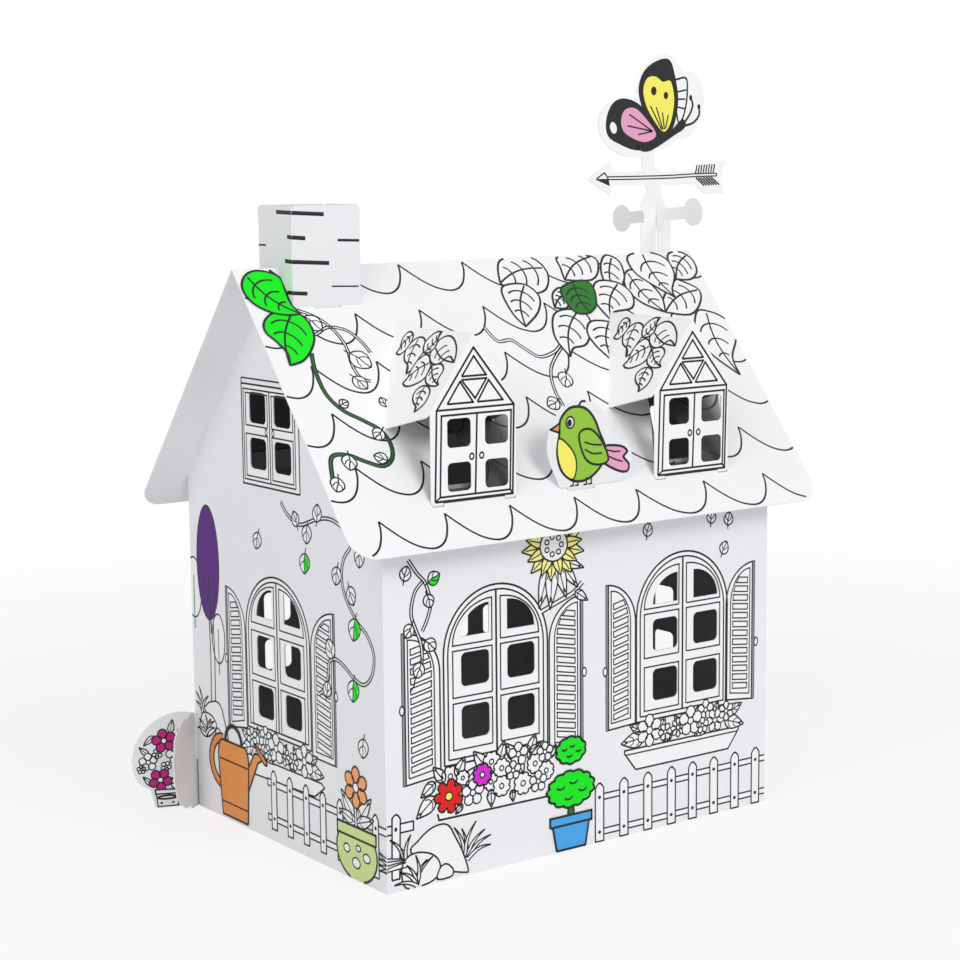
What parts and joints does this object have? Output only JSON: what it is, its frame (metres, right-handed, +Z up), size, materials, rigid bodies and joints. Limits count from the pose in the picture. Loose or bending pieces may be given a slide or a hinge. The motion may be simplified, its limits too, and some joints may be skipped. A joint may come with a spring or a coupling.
{
  "type": "paper coloring house",
  "caption": "Card house to colour in: folded walls with cut window panes, pitched roof, chimney, two dormers, a bird card and a weathervane that slot into the roof.",
  "frame": {"origin": "middle of the whole house's box, on the floor", "axes": "+Z up, the front wall with the dormers above it faces -Y, the gable with the crossed ears is towards -X"},
  "size_m": [0.3239, 0.207, 0.3924],
  "materials": {
    "printed_card": "white printed card, matt",
    "roof_card": "white printed card, matt",
    "chimney_card": "white printed card, matt",
    "dormer_card": "white printed card, matt",
    "bird_card": "white printed card, matt",
    "vane_card": "white printed card, matt"
  },
  "bodies": {
    "root": {"wall_wrap": "printed_card", "roof_sheet": "roof_card", "chimney": "chimney_card", "dormer_left": "dormer_card", "dormer_right": "dormer_card", "roof_bird": "bird_card", "vane_blade": "vane_card", "vane_arms": "vane_card"}
  },
  "joints": []
}
